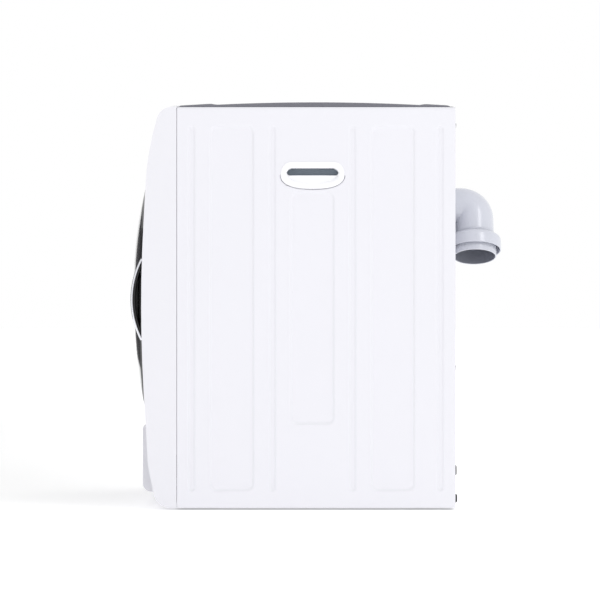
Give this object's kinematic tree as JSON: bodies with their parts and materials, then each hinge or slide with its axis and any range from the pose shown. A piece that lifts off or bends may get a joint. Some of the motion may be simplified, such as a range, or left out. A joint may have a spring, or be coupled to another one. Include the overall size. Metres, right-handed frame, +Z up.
{
  "type": "clothes dryer",
  "caption": "Compact vented clothes dryer with a bowed white front, a round black door, a crowned grey top and a turning exhaust elbow at the back.",
  "frame": {"origin": "on the floor, under the middle of the whole object's box", "axes": "+Z up, the door faces -Y, +X on the right of a person who faces the door"},
  "size_m": [0.598, 0.6754, 0.7309],
  "materials": {
    "white_enamel": "fine orange-peel gloss enamel",
    "grey_enamel": "satin grey enamel",
    "zinc_sheet": "galvanised",
    "white_plastic": "smooth moulded",
    "grey_plastic": "moulded",
    "light_grey_plastic": "moulded",
    "felt": "felt",
    "cast_aluminium": "die cast",
    "bronze": "sintered",
    "elbow_plastic": "smooth moulded",
    "black_plastic": "moulded",
    "steel": "rolled",
    "rubber": "moulded",
    "black_gloss": "high gloss",
    "glass": "clear",
    "chrome": "polished",
    "silver_plastic": "metallic"
  },
  "bodies": {
    "cabinet": {"left_side_panel": "white_enamel", "right_side_panel": "white_enamel", "back_panel": "white_enamel", "top_cover": "grey_enamel", "base_pan": "zinc_sheet", "front_panel": "white_plastic", "control_fascia": "white_plastic", "control_switches": "grey_plastic", "side_grips": "white_plastic", "front_bulkhead": "zinc_sheet", "mouth_ring": "light_grey_plastic", "drum_felts": "felt", "rear_bulkhead": "zinc_sheet", "bearing_housing": "cast_aluminium", "drum_bearing": "bronze", "fan_housing": "light_grey_plastic", "exhaust_flange": "elbow_plastic", "heater_box": "zinc_sheet", "heater_element": "cast_aluminium", "thermostats": "black_plastic", "motor_casing": "cast_aluminium", "motor_bracket": "zinc_sheet", "door_switch": "black_plastic", "door_magnet": "black_plastic", "hinge_bracket": "cast_aluminium", "hinge_pin": "steel", "cord_gland": "black_plastic", "intake_grille": "light_grey_plastic", "screws": "steel", "wall_bumpers": "rubber", "drum_belt": "rubber", "fan_belt": "rubber", "wiring_harness": "black_plastic", "idler_spring": "steel"},
    "door": {"door_ring": "black_gloss", "door_dome": "black_gloss", "door_liner": "light_grey_plastic", "door_glass": "glass", "door_gasket": "rubber", "handle_grip": "black_plastic", "handle_trim": "chrome", "hinge_arm": "cast_aluminium"},
    "drum": {"drum_shell": "steel", "drum_rear": "steel", "drum_lifters": "light_grey_plastic", "drum_shaft": "steel"},
    "lint_screen": {"lint_filter": "light_grey_plastic"},
    "rotor": {"motor_rotor": "steel"},
    "fan": {"fan_wheel": "light_grey_plastic"},
    "tension_arm": {"idler_arm": "zinc_sheet"},
    "tension_wheel": {"idler_wheel": "black_plastic"},
    "knob": {"timer_knob": "silver_plastic"},
    "start_key": {"start_button": "silver_plastic"},
    "heat_key": {"heat_button": "silver_plastic"},
    "switch_plunger": {"door_plunger": "light_grey_plastic"},
    "foot_1": {"foot_front_right": "black_plastic"},
    "foot_2": {"foot_front_left": "black_plastic"},
    "foot_3": {"foot_back_right": "black_plastic"},
    "foot_4": {"foot_back_left": "black_plastic"},
    "outlet": {"elbow": "elbow_plastic"}
  },
  "joints": [
    {"name": "door_hinge", "type": "hinge", "parent": "cabinet", "child": "door", "pos_m": [-0.216, -0.32205, 0.368], "axis": [0, 0, -1], "range_deg": [0, 120]},
    {"name": "drum_spin", "type": "hinge", "parent": "cabinet", "child": "drum", "pos_m": [0, 0, 0.368], "axis": [0, 1, 0], "continuous": true},
    {"name": "lint_slide", "type": "slide", "parent": "drum", "child": "lint_screen", "axis": [0, -1, 0], "range_m": [0, 0.12]},
    {"name": "motor_spin", "type": "hinge", "parent": "cabinet", "child": "rotor", "pos_m": [0.17, 0, 0.075], "axis": [0, 1, 0], "continuous": true},
    {"name": "fan_spin", "type": "hinge", "parent": "cabinet", "child": "fan", "pos_m": [0, 0, 0.23], "axis": [0, 1, 0], "continuous": true},
    {"name": "tension_pivot", "type": "hinge", "parent": "cabinet", "child": "tension_arm", "pos_m": [0.032, 0, 0.047], "axis": [0, -1, 0], "range_deg": [0, 10], "stiffness_Nm_per_rad": 4, "springref_deg": -17.19, "deforming": ["idler_spring"]},
    {"name": "tension_wheel_spin", "type": "hinge", "parent": "tension_arm", "child": "tension_wheel", "pos_m": [0.092, 0, 0.072], "axis": [0, 1, 0], "continuous": true},
    {"name": "timer_turn", "type": "hinge", "parent": "cabinet", "child": "knob", "pos_m": [-0.11, 0, 0.075], "axis": [0, 1, 0], "range_deg": [0, 330]},
    {"name": "start_press", "type": "slide", "parent": "cabinet", "child": "start_key", "axis": [0, 1, 0], "range_m": [0, 0.003], "stiffness_N_per_m": 400, "springref_m": -0.002},
    {"name": "heat_press", "type": "slide", "parent": "cabinet", "child": "heat_key", "axis": [0, 1, 0], "range_m": [0, 0.003], "stiffness_N_per_m": 400, "springref_m": -0.002},
    {"name": "plunger_travel", "type": "slide", "parent": "cabinet", "child": "switch_plunger", "axis": [0, -1, 0], "range_m": [0, 0.005]},
    {"name": "foot_1_screw", "type": "slide", "parent": "cabinet", "child": "foot_1", "axis": [0, 0, -1], "range_m": [0, 0.012]},
    {"name": "foot_2_screw", "type": "slide", "parent": "cabinet", "child": "foot_2", "axis": [0, 0, -1], "range_m": [0, 0.012]},
    {"name": "foot_3_screw", "type": "slide", "parent": "cabinet", "child": "foot_3", "axis": [0, 0, -1], "range_m": [0, 0.012]},
    {"name": "foot_4_screw", "type": "slide", "parent": "cabinet", "child": "foot_4", "axis": [0, 0, -1], "range_m": [0, 0.012]},
    {"name": "outlet_turn", "type": "hinge", "parent": "cabinet", "child": "outlet", "pos_m": [0, 0.23925, 0.538], "axis": [0, 1, 0], "continuous": true}
  ],
  "couplings": [
    {"joint": "motor_spin", "follows": "drum_spin", "ratio": 23.212},
    {"joint": "tension_wheel_spin", "follows": "drum_spin", "ratio": 13.591},
    {"joint": "fan_spin", "follows": "drum_spin", "ratio": 24.797},
    {"joint": "plunger_travel", "follows": "door_hinge", "m_per_rad": 0.002387}
  ]
}
